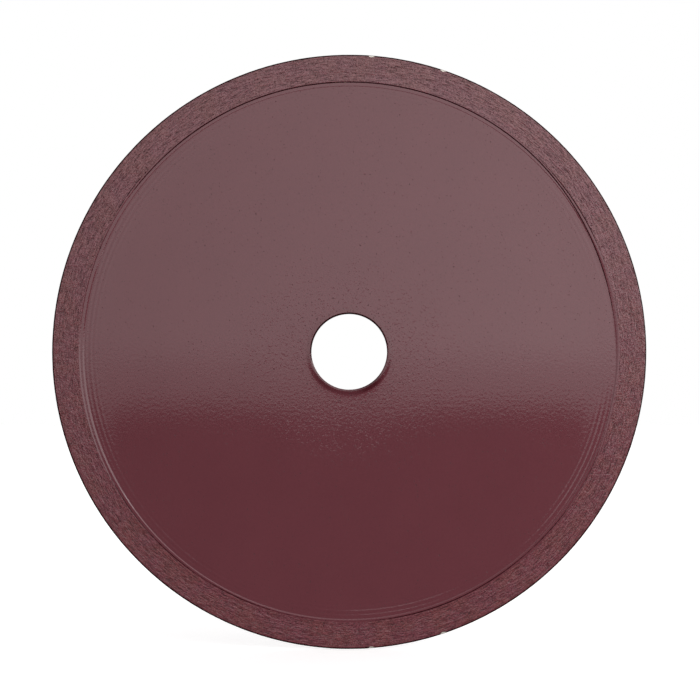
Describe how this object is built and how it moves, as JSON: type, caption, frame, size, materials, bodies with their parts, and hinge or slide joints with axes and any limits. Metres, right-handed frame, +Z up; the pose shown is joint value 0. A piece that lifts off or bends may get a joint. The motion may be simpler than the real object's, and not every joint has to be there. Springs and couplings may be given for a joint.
{
  "type": "diamond blade",
  "caption": "Flat round continuous-rim saw blade: steel core with a plain arbor bore, a thicker sintered diamond rim, and glossy maroon enamel on both sides.",
  "frame": {"origin": "on the spin axis at the centre of the arbor bore, half way through the blade's thickness", "axes": "the blade spins about Y; its front face looks along -Y, +X is to the right of someone facing the front, and +Z is up"},
  "size_m": [0.2, 0.0024, 0.2],
  "materials": {
    "steel": "turned steel, bare on the wall of the bore",
    "bond": "dull sintered bronze with no diamond in it",
    "rim": "pale sintered bronze crowded with diamond grit",
    "enamel": "glossy maroon enamel with orange peel"
  },
  "bodies": {
    "root": {"steel_core": "steel", "bond_ring": "bond", "diamond_rim": "rim", "enamel_front": "enamel", "enamel_back": "enamel"}
  },
  "joints": []
}
